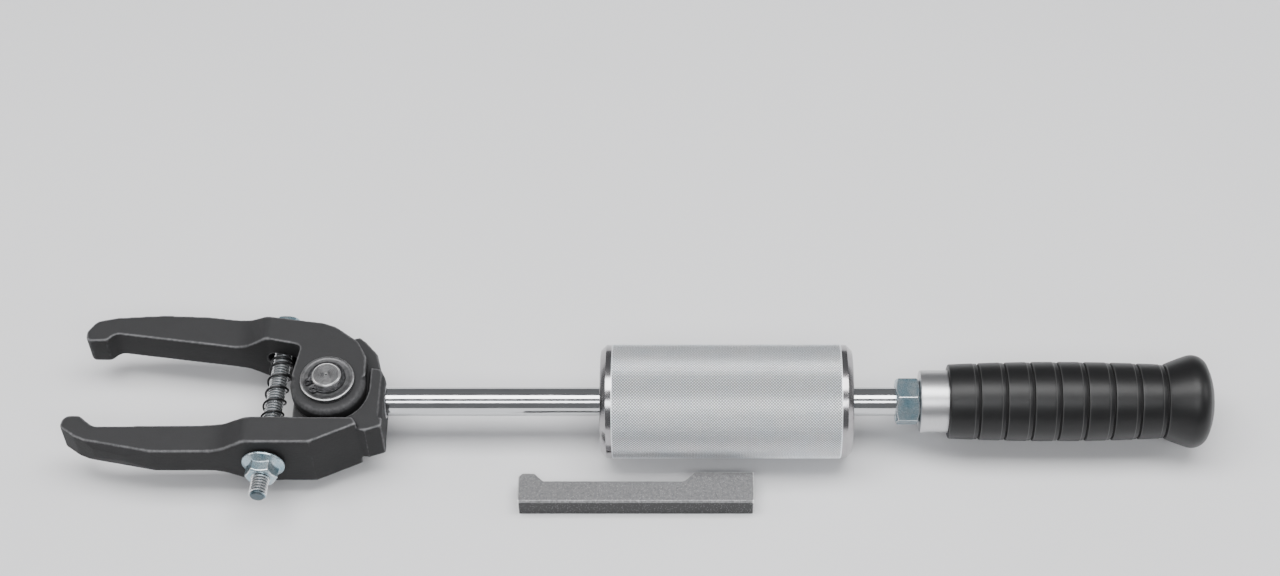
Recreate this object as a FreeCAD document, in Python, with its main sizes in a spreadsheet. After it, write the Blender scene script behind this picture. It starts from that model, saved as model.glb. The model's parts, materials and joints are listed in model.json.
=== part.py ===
import FreeCAD, Part
import math
import os
import re

import Sketcher

os.makedirs("parts", exist_ok=True)

# Ball joint separator: two forged claw jaws on a pivot pin, held by a clamp bolt, and a slide
# hammer behind them. Lengths are millimetres. Every piece is drawn in the tool's own axes, with
# the pivot pin on Z, the slide rod on X and both axes crossing at the origin. It is then placed so
# that the row's origin is the middle of the footprint, on the surface that the tool lies on.

doc = FreeCAD.newDocument("ball_joint_separator")
sheet = doc.addObject("Spreadsheet::Sheet", "Dims")

dimensions = {
    # where the pivot stands in the row's frame
    "PivotX": -173.0,
    "PivotY": 4.6,
    "RodHeight": 32.0,
    # jaws
    "ArmHalf": 10.0,
    "BlockHalf": 20.0,
    "NeckHalf": 14.0,
    "TongueHalf": 9.5,
    "CheekGap": 0.3,
    "FixedTip": -147.0,
    "FixedFront": -40.0,
    "FixedInner": -22.9,
    "FixedRampLow": -59.0,
    "FixedRampTop": -43.5,
    "NeckEnd": 31.0,
    "MovingTip": -141.4,
    "MovingRampLow": -51.0,
    "MovingRampTop": -37.5,
    "BossRadius": 21.0,
    "BossRound": 3.5,
    "TongueRadius": 19.5,
    # pivot
    "PinRadius": 8.0,
    "PinRunning": 0.06,
    "PinTop": 26.8,
    "PinGroove": 7.5,
    "WasherRadius": 15.0,
    "WasherThick": 2.9,
    "ClipThick": 1.2,
    "ClipRadius": 10.3,
    "ClipTurn": 214.0,
    "LugRadius": 2.4,
    "LugSide": 2.9,
    "EyeRadius": 0.9,
    # clamp bolt, nut and spring
    "BoltRadius": 5.0,
    "BoltLength": 110.0,
    "BoltEndX": -35.2,
    "BoltEndY": -62.8,
    "BoltTilt": 3.2,
    "BoltHeadFlats": 16.0,
    "BoltHeadHeight": 6.4,
    "BoltHoleRadius": 6.3,
    "BoltWasherRadius": 10.5,
    "BoltWasherThick": 2.0,
    "SeatGap": 0.2,
    "SeatCrown": 30.0,
    "NutSeat": 22.05,
    "NutRunning": 0.06,
    "NutFlangeRadius": 12.0,
    "NutHeight": 10.0,
    "SpringRadius": 5.95,
    "SpringWire": 0.6,
    "SpringLow": 40.9,
    "SpringTurns": 6.0,
    "SpringPitch": 8.1,
    # slide hammer
    "RodRadius": 8.0,
    "RodStart": 16.0,
    "RodEnd": 474.0,
    "WeightStart": 151.0,
    "WeightEnd": 291.0,
    "WeightRadius": 32.0,
    "WeightRunning": 0.08,
    "WeightChamfer": 3.3,
    "WeightBand": 2.9,
    "KnurlDepth": 0.4,
    "StopNutStart": 315.5,
    "StopNutHeight": 13.0,
    "StopNutFlats": 24.0,
    # handle
    "FerruleStart": 328.8,
    "FerruleRadius": 17.5,
    "GripStart": 344.7,
    "GripEnd": 493.0,
    "CoreRadius": 12.0,
    "CoreEnd": 460.0,
    "EndWasherThick": 2.5,
    "EndNutHeight": 8.0,
    "GrooveFirst": 361.3,
    "GroovePitch": 14.86,
    "GrooveDepth": 1.1,
    # loose stepped bar
    "BarStart": 105.0,
    "BarEnd": 236.3,
    "BarFront": -54.2,
    "BarThin": -40.4,
    "BarBlock": -34.5,
    "BarLip": -35.4,
    "BarHeight": 13.0,
}
for row, (alias, number) in enumerate(dimensions.items(), start=1):
    sheet.set(f"A{row}", alias)
    sheet.set(f"B{row}", str(number))
    sheet.setAlias(f"B{row}", alias)
doc.recompute()

parts = []


def bound(text):
    """The expression with every sheet alias given its sheet's name."""
    return re.sub(r"\b([A-Z][a-z]\w+)", r"Dims.\1", str(text))


def size(text):
    """The number that an expression on the sheet's aliases gives."""
    return float(sheet.evalExpression(str(text)))


def bind(obj, **expressions):
    """Bind properties of an object to expressions on the sheet."""
    for name, text in expressions.items():
        obj.setExpression(name.replace("__", "."), bound(text))
    return obj


def put(obj, x="0", y="0", z="0", rotation=None):
    """Place a helper solid in the tool's axes."""
    if rotation is not None:
        obj.Placement = FreeCAD.Placement(FreeCAD.Vector(0, 0, 0), rotation)
    return bind(obj, Placement__Base__x=x, Placement__Base__y=y, Placement__Base__z=z)


def keep(obj, name, x="0", y="0", z="0", rotation=None):
    """Make an object a sub-part: its name, and its place in the row's frame."""
    obj.Label = name
    put(obj, f"PivotX + ({x})", f"PivotY + ({y})", f"RodHeight + ({z})", rotation)
    parts.append(obj)
    return obj


turn_to_z = FreeCAD.Rotation(FreeCAD.Vector(1, 0, 0), FreeCAD.Vector(0, 0, 1))
z_to_x = FreeCAD.Rotation(FreeCAD.Vector(0, 0, 1), FreeCAD.Vector(1, 0, 0))
z_to_y = FreeCAD.Rotation(FreeCAD.Vector(0, 0, 1), FreeCAD.Vector(0, 1, 0))
side_view = FreeCAD.Rotation(FreeCAD.Vector(1, 0, 0), 90)


def same(point, other):
    return (point - other).Length < 1e-6


def outline(sketch, points):
    """Close a profile: each point's two coordinates are bound dimensions of the sketch. A point
    with two more numbers is the end of an arc that bulges through them."""
    corners = [FreeCAD.Vector(size(point[0]), size(point[1]), 0) for point in points]
    for index, point in enumerate(points):
        start = corners[index - 1]
        if len(point) == 4:
            bulge = FreeCAD.Vector(size(point[2]), size(point[3]), 0)
            ends = [start, corners[index]]
            if (bulge - start).cross(corners[index] - bulge).z < 0:
                ends.reverse()
            sketch.addGeometry(Part.Arc(ends[0], bulge, ends[1]), False)
        else:
            sketch.addGeometry(Part.LineSegment(start, corners[index]), False)
    links = []
    reaches = []
    for index, point in enumerate(points):
        following = (index + 1) % len(points)
        end = 2 if same(sketch.Geometry[index].EndPoint, corners[index]) else 1
        start = 1 if same(sketch.Geometry[following].StartPoint, corners[index]) else 2
        links.append(Sketcher.Constraint("Coincident", index, end, following, start))
        for axis, kind, zero_line in ((0, "DistanceX", -2), (1, "DistanceY", -1)):
            place = corners[index][axis]
            if abs(place) < 1e-9:
                links.append(Sketcher.Constraint("PointOnObject", index, end, zero_line))
            else:
                reaches.append((Sketcher.Constraint(kind, -1, 1, index, end, place), point[axis]))
    sketch.addConstraint(links + [reach for reach, _ in reaches])
    for number, (_, text) in enumerate(reaches, start=len(links)):
        sketch.setExpression(f"Constraints[{number}]", bound(text))


def turned(name, profile):
    """A body turned about its own X axis from a profile of (along, radius) points."""
    body = doc.addObject("PartDesign::Body", name)
    sketch = body.newObject("Sketcher::SketchObject", name + "_profile")
    plane = [item for item in body.Origin.OriginFeatures if item.Role == "XY_Plane"][0]
    sketch.AttachmentSupport = [(plane, "")]
    sketch.MapMode = "FlatFace"
    outline(sketch, profile)
    lathe = body.newObject("PartDesign::Revolution", name + "_lathe")
    lathe.Profile = sketch
    lathe.ReferenceAxis = (sketch, ["H_Axis"])
    lathe.Angle = 360
    body.Tip = lathe
    return body


def ring(name, start, end, inner, outer):
    """A plain turned ring."""
    return turned(name, [(start, inner), (end, inner), (end, outer), (start, outer)])


def extruded(name, points, direction, low, high, rotation=None):
    """A closed outline pushed from low to high along a direction."""
    sketch = doc.addObject("Sketcher::SketchObject", name + "_outline")
    if rotation is not None:
        sketch.Placement = FreeCAD.Placement(FreeCAD.Vector(0, 0, 0), rotation)
    outline(sketch, points)
    solid = doc.addObject("Part::Extrusion", name)
    solid.Base = sketch
    solid.DirMode = "Custom"
    solid.Dir = direction
    solid.Solid = True
    return bind(solid, LengthFwd=high, LengthRev=f"-({low})")


def slab(name, corners, half, low=None):
    """A plan outline given thickness along Z, the same above and below unless low is given."""
    points = [(corner[0], corner[1]) for corner in corners]
    return extruded(name, points, (0, 0, 1), low or f"-{half}", half)


def cylinder(name, radius, length, x="0", y="0", z="0", rotation=None):
    solid = doc.addObject("Part::Cylinder", name)
    bind(solid, Radius=radius, Height=length)
    return put(solid, x, y, z, rotation)


def box(name, x, y, z):
    """A block between two expressions on each axis."""
    solid = doc.addObject("Part::Box", name)
    spans = {"Length": x, "Width": y, "Height": z}
    bind(solid, **{side: f"({high}) - ({low})" for side, (low, high) in spans.items()})
    return put(solid, x[0], y[0], z[0])


def fused(name, pieces):
    solid = doc.addObject("Part::MultiFuse", name)
    solid.Shapes = pieces
    solid.Refine = True
    return solid


def shared(name, pieces):
    solid = doc.addObject("Part::MultiCommon", name)
    solid.Shapes = pieces
    return solid


def cut(name, base, tools):
    """The base less every tool."""
    solid = doc.addObject("Part::Cut", name)
    solid.Base = base
    solid.Tool = tools[0] if len(tools) == 1 else fused(name + "_tools", tools)
    return solid


def rounded(name, base, radius_of):
    """The base with a fillet on each edge that radius_of gives a radius for."""
    doc.recompute()
    solid = doc.addObject("Part::Fillet", name)
    solid.Base = base
    numbered = enumerate(base.Shape.Edges, start=1)
    found = [(number, radius_of(edge)) for number, edge in numbered]
    solid.Edges = [(number, radius, radius) for number, radius in found if radius]
    return solid


def rounded_plan(name, corners, half):
    """A slab whose upright edges are rounded where a corner gives a third number, its radius."""
    wanted = [(size(c[0]), size(c[1]), c[2]) for c in corners if len(c) == 3]

    def radius_of(edge):
        low, high = (vertex.Point for vertex in edge.Vertexes)
        if math.hypot(low.x - high.x, low.y - high.y) > 1e-6:
            return None
        for x, y, radius in wanted:
            if math.hypot(low.x - x, low.y - y) < 1e-6:
                return radius
        return None

    return rounded(name, slab(name + "_slab", corners, half), radius_of)


def hexagon(name, flats, start, length, spin=0):
    """A hexagonal bar along X, turned about X by spin from having two flats facing along Y."""
    solid = doc.addObject("Part::Prism", name)
    solid.Polygon = 6
    bind(solid, Circumradius=f"{flats} / sqrt(3)", Height=length)
    about_x = FreeCAD.Rotation(FreeCAD.Vector(1, 0, 0), spin)
    return put(solid, start, rotation=about_x.multiply(z_to_x))


# ---- jaws

def ramp_side(name, tip, ramp_low, ramp_top, end, low_round, top_round):
    """The side view of a jaw: a thin arm that rises to the thick block, alike above and below."""
    top = [(tip, "ArmHalf"), (ramp_low, "ArmHalf"), (ramp_top, "BlockHalf"), (end, "BlockHalf")]
    bottom = [(x, f"-{height}") for x, height in reversed(top)]
    solid = extruded(name + "_side", top + bottom, (0, 1, 0), "-60", "60", side_view)
    rounds = {size(ramp_low): low_round, size(ramp_top): top_round}

    def radius_of(edge):
        near, far = (vertex.Point for vertex in edge.Vertexes)
        if abs(near.x - far.x) > 1e-6:
            return None
        for x, radius in rounds.items():
            if abs(near.x - x) < 1e-6:
                return radius
        return None

    return rounded(name + "_side_rounded", solid, radius_of)


def half_space(name, corner, along, normal):
    """A large block whose bottom face holds a corner and an edge direction and faces normal."""
    solid = doc.addObject("Part::Box", name)
    bind(solid, Length="80", Width="80", Height="20")
    third = normal.cross(along)
    turn = FreeCAD.Rotation(along, third, normal, "ZXY")
    solid.Placement = FreeCAD.Placement(corner - along * 20 - third * 40, turn)
    return solid


def fixed_jaw():
    """The forged body: claw arm, thick block, neck for the rod, and the tongue round the pin."""
    claw_corners = [
        ("FixedTip", "FixedInner + 7.2", 5.5),
        ("FixedTip + 9.9", "FixedInner + 7.2", 3.5),
        ("FixedTip + 18.3", "FixedInner", 6.0),
        (-60, "FixedInner + 0.9"),
        ("FixedRampTop", "FixedInner"),
        (15.5, "FixedInner - 0.5"),
        (18.4, -27.9),
        (-7, "FixedFront"),
        (-95, "FixedFront"),
        (-110, -38.2),
        (-128.5, -34.1),
        (-138.5, -29.8),
        ("FixedTip", -23.5),
    ]
    plan = rounded_plan("claw_plan", claw_corners, "BlockHalf")
    side = ramp_side("claw", "FixedTip - 5", "FixedRampLow", "FixedRampTop", "30", 24, 9)
    claw = shared("claw", [plan, side])

    facets = []
    for side_sign, name in ((1, "upper"), (-1, "lower")):
        near_tip = FreeCAD.Vector(-136.5, -31.4, 10 * side_sign)
        far_end = FreeCAD.Vector(-94, -40, 10 * side_sign)
        on_wall = FreeCAD.Vector(-119.5, -36.1, 3.8 * side_sign)
        along = (far_end - near_tip).normalize()
        normal = along.cross(on_wall - near_tip).normalize()
        if normal.y > 0:
            normal = normal * -1
        facets.append(half_space(f"{name}_facet", near_tip, along, normal))

    neck = slab("neck", [
        (2, "FixedInner - 0.5"), (18.4, -27.9), (22, -28.6), ("NeckEnd", -25.4),
        ("NeckEnd", 7.6), (28, 12.6), (22.4, 13.6), (15, 13.6), (2, 5),
    ], "NeckHalf")
    tongue = fused("tongue", [
        cylinder("tongue_disc", "TongueRadius", "2 * TongueHalf", z="-TongueHalf"),
        slab("tongue_root", [
            ("-TongueRadius", -26), (20, -26), (24, 13), (0, 10), ("-TongueRadius", -4),
        ], "TongueHalf"),
        slab("tongue_stop", [
            (10, 12), (26, 6), (28.4, 12.5), (25, 25.6), (18, 34), (14, 37.6), (10, 36.5),
        ], "TongueHalf"),
    ])
    cheek_room = "BossRadius + 1.2"
    rooms = []
    for name, low in (("upper", "TongueHalf"), ("lower", "-BlockHalf - 1")):
        height = "BlockHalf + 1 - TongueHalf"
        rooms.append(cylinder(f"{name}_room", cheek_room, height, z=low))
        rooms.append(box(f"{name}_shoulder_room", (0, cheek_room), (0, 40),
                         (low, f"{low} + {height}")))
    neck_corners = [
        half_space("neck_top_bevel", FreeCAD.Vector(28.6, 0, 14), FreeCAD.Vector(0, 1, 0),
                   FreeCAD.Vector(1, 0, 1).normalize()),
        half_space("neck_bottom_bevel", FreeCAD.Vector(28.6, 0, -14), FreeCAD.Vector(0, 1, 0),
                   FreeCAD.Vector(1, 0, -1).normalize()),
    ]
    solid = fused("fixed_solid", [cut("claw_facets", claw, facets),
                                  cut("neck_bevels", neck, neck_corners), tongue])
    bore = turned("rod_bore", [
        ("RodStart", 0), ("RodStart", "RodRadius"), ("NeckEnd - 1", "RodRadius"),
        ("NeckEnd", "RodRadius + 1"), ("NeckEnd + 5", "RodRadius + 1"), ("NeckEnd + 5", 0),
    ])
    holes = [
        cylinder("tongue_hole", "PinRadius", 60, z=-30),
        cylinder("clamp_hole", "BoltHoleRadius", 40, x=bolt_cross_x, y=-50, rotation=z_to_y),
        bore,
    ]
    keep(cut("fixed_jaw", cut("fixed_rooms", solid, rooms), holes), "fixed_jaw")


def moving_jaw():
    """The forged claw that swings: its two cheeks straddle the body's tongue on the pin."""
    corners = [
        ("MovingTip", 34.6, 3.4),
        (-129.4, 34.6, 4.2),
        (-124.6, 39.5, 5.0),
        (-54, 29.6),
        ("MovingRampTop", 29.0),
        (-21.5, 25.7),
        (-17.3, 24.4, 2.5),
        (-20.6, 4),
        (0, -8),
        (20.6, 4),
        (20.2, 17),
        (14.8, 27.4, 10.0),
        (1.5, 37.6, 14.0),
        (-6, 40.3),
        (-34, 44.4),
        (-52, 48.9, 40.0),
        (-73, 51.5),
        (-98, 52.6),
        (-125, 51.0),
        (-136.5, 48.4, 6.0),
        ("MovingTip", 41.0, 5.0),
    ]
    plan = rounded_plan("swing_plan", corners, "BlockHalf")
    side = ramp_side("swing", "MovingTip - 5", "MovingRampLow", "MovingRampTop", "40", 20, 9)
    claw = shared("swing_claw", [plan, side])
    disc = cylinder("boss_disc", "BossRadius", "2 * BlockHalf", z="-BlockHalf")

    def rim(edge):
        flat = abs(abs(edge.CenterOfMass.z) - size("BlockHalf")) < 1e-6
        return size("BossRound") if flat and abs(edge.Length) > 100 else None

    boss = rounded("boss", disc, rim)
    pad_turn = FreeCAD.Rotation(FreeCAD.Vector(0, 0, 1), bolt_direction)
    pad = shared("bolt_pad", [
        cylinder("pad_round", "BoltWasherRadius + 1.5", 12, rotation=pad_turn,
                 x=f"{seat_x} - 12 * sin(BoltTilt)", y=f"{seat_y} - 12 * cos(BoltTilt)"),
        cylinder("pad_crown", "SeatCrown", "2 * BlockHalf", z="-BlockHalf",
                 x=f"{seat_x} - (SeatCrown + SeatGap) * sin(BoltTilt)",
                 y=f"{seat_y} - (SeatCrown + SeatGap) * cos(BoltTilt)"),
    ])
    spot_face = cylinder("spot_face", "BoltWasherRadius + 1.5", 20, rotation=pad_turn,
                         x=f"{seat_x} - 4 * sin(BoltTilt)", y=f"{seat_y} - 4 * cos(BoltTilt)")
    solid = fused("swing_solid", [cut("claw_spot_faced", claw, [spot_face]), boss, pad])
    slot_height = "TongueHalf + CheekGap"
    slot_span = (f"-({slot_height})", slot_height)
    slot_ends = [cylinder(f"slot_end_{side}", "BoltHoleRadius", 80, x=x, y=0, rotation=z_to_y)
                 for side, x in (("left", -31.8), ("right", -25.6))]
    tools = [
        cylinder("tongue_slot", "TongueRadius + 1", f"2 * ({slot_height})", z=slot_span[0]),
        box("tongue_side", (6, 40), (-30, 60), slot_span),
        box("tongue_front", (-30, 40), (-40, 0), slot_span),
        cylinder("cheek_holes", "PinRadius + PinRunning", 60, z=-30),
        box("slot_middle", (-31.8, -25.6), (0, 80), ("-BoltHoleRadius", "BoltHoleRadius")),
        *slot_ends,
    ]
    keep(cut("moving_jaw", solid, tools), "moving_jaw")


# ---- pivot

def pivot():
    """A plain pin, held above and below by a washer and a retaining ring in a groove."""
    clip_low = "BlockHalf + 0.1 + WasherThick"
    clip_high = f"{clip_low} + ClipThick"
    half = [(0, "PinRadius"), (clip_low, "PinRadius"), (clip_low, "PinGroove"),
            (clip_high, "PinGroove"), (clip_high, "PinRadius"), ("PinTop - 0.8", "PinRadius"),
            ("PinTop", "PinRadius - 0.8"), ("PinTop", 0)]
    mirrored = [(f"-({along})", radius) for along, radius in reversed(half[1:])]
    keep(turned("pivot_pin", mirrored + half[1:]), "pivot_pin", rotation=turn_to_z)
    for name, low in (("upper", "BlockHalf + 0.1"), ("lower", "-BlockHalf - 0.1 - WasherThick")):
        washer = turned(f"washer_{name}", [
            (0, "PinRadius + 0.1"), ("WasherThick", "PinRadius + 0.1"),
            ("WasherThick", "WasherRadius - 0.5"), ("WasherThick - 0.5", "WasherRadius"),
            (0.5, "WasherRadius"), (0, "WasherRadius - 0.5"),
        ])
        keep(washer, f"pivot_washer_{name}", z=low, rotation=turn_to_z)
    for name, low in (("upper", clip_low), ("lower", f"-({clip_high})")):
        retaining_ring(name, low)


def retaining_ring(name, low):
    """An open spring ring with a lug and a plier hole at each end of its gap."""
    disc = cylinder(f"ring_{name}_disc", "ClipRadius", "ClipThick")
    lugs = [cylinder(f"ring_{name}_lug_{sign}", "LugRadius", "ClipThick", x="PinRadius + 1.9",
                     y=f"{sign} * LugSide") for sign in (-1, 1)]
    tools = [cylinder(f"ring_{name}_eye_{sign}", "EyeRadius", "ClipThick + 2",
                      x="PinRadius + 2.1", y=f"{sign} * LugSide", z=-1) for sign in (-1, 1)]
    tools.append(cylinder(f"ring_{name}_bore", "PinGroove + 0.05", "ClipThick + 2", z=-1))
    tools.append(box(f"ring_{name}_gap", (5, 16), (-1.2, 1.2), (-1, "ClipThick + 1")))
    clip = cut(f"ring_{name}", fused(f"ring_{name}_lugged", [disc, *lugs]), tools)
    turn = FreeCAD.Rotation(FreeCAD.Vector(0, 0, 1), size("ClipTurn"))
    keep(clip, f"circlip_{name}", z=low, rotation=turn)


# ---- clamp bolt, along its own X axis from the free end to the head

bolt_direction = FreeCAD.Vector(
    math.sin(math.radians(size("BoltTilt"))), math.cos(math.radians(size("BoltTilt"))), 0)
bolt_turn = FreeCAD.Rotation(FreeCAD.Vector(0, 0, 1), 90 - size("BoltTilt"))
seat_x = "(BoltEndX + (BoltLength - BoltWasherThick) * sin(BoltTilt))"
seat_y = "(BoltEndY + (BoltLength - BoltWasherThick) * cos(BoltTilt))"
bolt_cross_x = "BoltEndX + 31.3 * tan(BoltTilt)"


def keep_on_bolt(obj, name):
    """Lay a piece drawn along X on the clamp bolt's line."""
    return keep(obj, name, "BoltEndX", "BoltEndY", rotation=bolt_turn)


def chamfered_hexagon(name, flats, start, length, spin, both_ends):
    """A hexagon whose corners are turned off at 30 degrees, at its start or at both ends."""
    corner = f"{flats} / sqrt(3)"
    fall = f"({corner} - {flats} / 2 * 0.96) * tan(30)"
    low = f"{flats} / 2 * 0.96"
    end_points = [(f"{start} + {length} - {fall}", corner), (f"{start} + {length}", low)]
    if not both_ends:
        end_points = [(f"{start} + {length}", corner)]
    barrel = turned(f"{name}_barrel", [
        (start, 0), (start, low), (f"{start} + {fall}", corner),
        *end_points, (f"{start} + {length}", 0),
    ])
    return shared(name, [hexagon(f"{name}_bar", flats, start, length, spin), barrel])


def clamp():
    """Hexagon bolt, head washer, flange nut and the spring that holds the jaws apart."""
    shank = turned("bolt_shank", [
        (0, 0), (0, "BoltRadius - 1"), (1, "BoltRadius"), ("BoltLength", "BoltRadius"),
        ("BoltLength", 0),
    ])
    head = turned("bolt_head_barrel", [
        ("BoltLength", 0), ("BoltLength", "BoltHeadFlats / sqrt(3)"),
        ("BoltLength + BoltHeadHeight - 0.8", "BoltHeadFlats / sqrt(3)"),
        ("BoltLength + BoltHeadHeight", "BoltHeadFlats / 2 * 0.96"),
        ("BoltLength + BoltHeadHeight", 0),
    ])
    head_bar = hexagon("bolt_head_bar", "BoltHeadFlats", "BoltLength", "BoltHeadHeight", 30)
    bolt = fused("clamp_bolt", [shank, shared("bolt_head", [head_bar, head])])
    keep_on_bolt(bolt, "clamp_bolt")

    start = "BoltLength - BoltWasherThick"
    washer = ring("head_washer", start, "BoltLength", "BoltRadius + 0.25", "BoltWasherRadius")
    keep_on_bolt(washer, "bolt_head_washer")

    nut_start = "(NutSeat - NutHeight)"
    barrel = turned("nut_barrel", [
        (nut_start, 0), (nut_start, "BoltHeadFlats / 2 * 0.96"),
        (f"{nut_start} + 1", "BoltHeadFlats / sqrt(3)"),
        ("NutSeat", "BoltHeadFlats / sqrt(3)"), ("NutSeat", 0),
    ])
    nut_bar = hexagon("nut_bar", "BoltHeadFlats", nut_start, "NutHeight", 30)
    flange = turned("nut_flange", [
        ("NutSeat - 4.2", 0), ("NutSeat - 4.2", "BoltHeadFlats / 2 * 0.98"),
        ("NutSeat - 1.4", "NutFlangeRadius - 0.2"), ("NutSeat - 0.9", "NutFlangeRadius"),
        ("NutSeat", "NutFlangeRadius"), ("NutSeat", 0),
    ])
    nut_body = fused("nut_solid", [shared("nut_hexagon", [nut_bar, barrel]), flange])
    nut_hole = turned("nut_hole", [
        (f"{nut_start} - 1", 0), (f"{nut_start} - 1", "BoltRadius + NutRunning"),
        ("NutSeat + 1", "BoltRadius + NutRunning"), ("NutSeat + 1", 0),
    ])
    keep_on_bolt(cut("clamp_nut", nut_body, [nut_hole]), "clamp_nut")
    keep(jaw_spring(), "jaw_spring", "BoltEndX + SpringLow * sin(BoltTilt)",
         "BoltEndY + SpringLow * cos(BoltTilt)", rotation=bolt_turn.multiply(z_to_x))


def jaw_spring():
    """An open coiled wire, wound round the bolt between the two jaws."""
    radius = size("SpringRadius")
    wire = size("SpringWire")
    helix = Part.makeHelix(size("SpringPitch"), size("SpringPitch * SpringTurns"), radius)
    section = Part.Wire(Part.makeCircle(
        wire, FreeCAD.Vector(radius, 0, 0), FreeCAD.Vector(0, 1, 0)))
    spring = doc.addObject("Part::Feature", "spring")
    spring.Shape = Part.Wire(helix.Edges).makePipeShell([section], True, True)
    return spring


# ---- slide hammer

def slide_rod():
    rod = turned("rod", [
        ("RodStart", 0), ("RodStart", "RodRadius - 1"), ("RodStart + 1", "RodRadius"),
        ("RodEnd - 1.5", "RodRadius"), ("RodEnd", "RodRadius - 1.5"), ("RodEnd", 0),
    ])
    keep(rod, "slide_rod")


def slide_weight():
    """The hammer: a bored bar with bevelled smooth ends and a knurled grip between them."""
    bore = "RodRadius + WeightRunning"
    smooth = "WeightRadius - KnurlDepth"
    band = "WeightChamfer + WeightBand"
    face = "WeightRadius - WeightChamfer"
    weight = turned("weight", [
        ("WeightStart", f"{bore} + 1"), ("WeightStart", face),
        ("WeightStart + WeightChamfer", smooth),
        (f"WeightStart + {band}", smooth),
        (f"WeightStart + {band} + KnurlDepth", "WeightRadius"),
        (f"WeightEnd - ({band}) - KnurlDepth", "WeightRadius"),
        (f"WeightEnd - ({band})", smooth),
        ("WeightEnd - WeightChamfer", smooth),
        ("WeightEnd", face), ("WeightEnd", f"{bore} + 1"),
        ("WeightEnd - 1", bore), ("WeightStart + 1", bore),
    ])
    keep(weight, "slide_weight")


def stop_nut():
    hexagon_part = chamfered_hexagon(
        "stop_hexagon", "StopNutFlats", "StopNutStart", "StopNutHeight", 24.6, True)
    hole = ring("stop_hole", "StopNutStart - 1", "StopNutStart + StopNutHeight + 1", 0, "RodRadius")
    keep(cut("stop_nut", hexagon_part, [hole]), "stop_nut")


# ---- handle

def handle():
    """Collar, core tube, washer and nut on the rod's threaded end, and the rubber over them."""
    ferrule = turned("ferrule", [
        ("FerruleStart", "RodRadius + 0.3"), ("FerruleStart", "FerruleRadius - 0.8"),
        ("FerruleStart + 0.8", "FerruleRadius"), ("GripStart - 0.4", "FerruleRadius"),
        ("GripStart", "FerruleRadius - 0.4"), ("GripStart", "CoreRadius"),
        ("FerruleStart + 4", "CoreRadius"), ("FerruleStart + 4", "RodRadius + 0.3"),
    ])
    keep(ferrule, "handle_ferrule")
    keep(ring("core", "FerruleStart + 4", "CoreEnd", "RodRadius + 0.3", "CoreRadius"),
         "handle_core")
    washer_end = "CoreEnd + EndWasherThick"
    keep(ring("end_washer", "CoreEnd", washer_end, "RodRadius + 0.3", "CoreRadius + 2"),
         "core_end_washer")
    bar = chamfered_hexagon("end_hexagon", "StopNutFlats", washer_end, "EndNutHeight", 0, False)
    hole = ring("end_hole", "CoreEnd", f"{washer_end} + EndNutHeight + 1", 0, "RodRadius")
    keep(cut("end_nut", bar, [hole]), "core_end_nut")
    keep(grip_sleeve(), "grip_sleeve")


def grip_sleeve():
    """The rubber grip: raised bands between eight grooves, then a flared knob with a dome."""
    neck = "GrooveFirst + GroovePitch * 7"
    cavity = "CoreEnd + EndWasherThick + EndNutHeight + 5"
    body = turned("grip_body", [
        ("GripStart", "CoreRadius"), ("GripStart", 20), ("GripStart + 0.8", 20.8),
        (neck, 20.7, "GripStart + 60", 22.2),
        ("GripEnd - 15", 25.1, "GripEnd - 21", 23.4),
        ("GripEnd - 4.5", 22.0, "GripEnd - 8.5", 24.9),
        ("GripEnd", 5.0, "GripEnd - 1.4", 14.2), ("GripEnd", 0),
        (cavity, 0), (cavity, "CoreRadius + 2.5"),
        ("CoreEnd - 0.4", "CoreRadius + 2.5"), ("CoreEnd - 0.4", "CoreRadius"),
    ])
    grooves = []
    for number in range(8):
        centre = f"GrooveFirst + GroovePitch * {number}"
        groove = ring(f"groove_{number}", "-0.6", "0.6", "20.6 - GrooveDepth", "30")
        grooves.append(put(groove, centre))
    return cut("grip", body, grooves)


# ---- loose stepped bar

def step_bar():
    """A bar with a thin middle, a thick block at one end and a low lip at the other."""
    block_start = "BarEnd - 33.3"
    bar = slab("bar_plan", [
        ("BarStart", "BarFront"), ("BarEnd", "BarFront"), ("BarEnd", "BarBlock"),
        (block_start, "BarBlock"), (f"{block_start} - 5.9", "BarThin"),
        ("BarStart + 14", "BarThin"), ("BarStart + 9", "BarLip"),
        ("BarStart + 2", "BarLip"), ("BarStart", "BarLip - 2"),
    ], "-RodHeight + BarHeight", "-RodHeight")
    bevel = half_space("bar_bevel", FreeCAD.Vector(size("BarStart"), size("BarFront + 0.8"),
                                                   size("-RodHeight + BarHeight")),
                       FreeCAD.Vector(1, 0, 0), FreeCAD.Vector(0, -1, 1).normalize())
    bind(bevel, Length="180")
    keep(cut("step_bar", bar, [bevel]), "step_bar")


fixed_jaw()
moving_jaw()
pivot()
clamp()
slide_rod()
slide_weight()
stop_nut()
handle()
step_bar()
doc.recompute()

for item in doc.Objects:
    if "Invalid" in item.State or "Error" in item.State:
        raise RuntimeError(f"{item.Label} did not compute: {item.State}")
for item in parts:
    if item.Shape.isNull() or not item.Shape.isValid():
        raise RuntimeError(f"{item.Label} has no valid shape")
for item in parts:
    item.Shape.exportStep(f"parts/{item.Label}.step")
    print(f"{item.Label}: {len(item.Shape.Solids)} solid, {item.Shape.Volume / 1000:.2f} cm3")
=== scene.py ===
import json
import math

import bmesh
import bpy
import numpy as np
from mathutils import Matrix, Vector, noise


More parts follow.
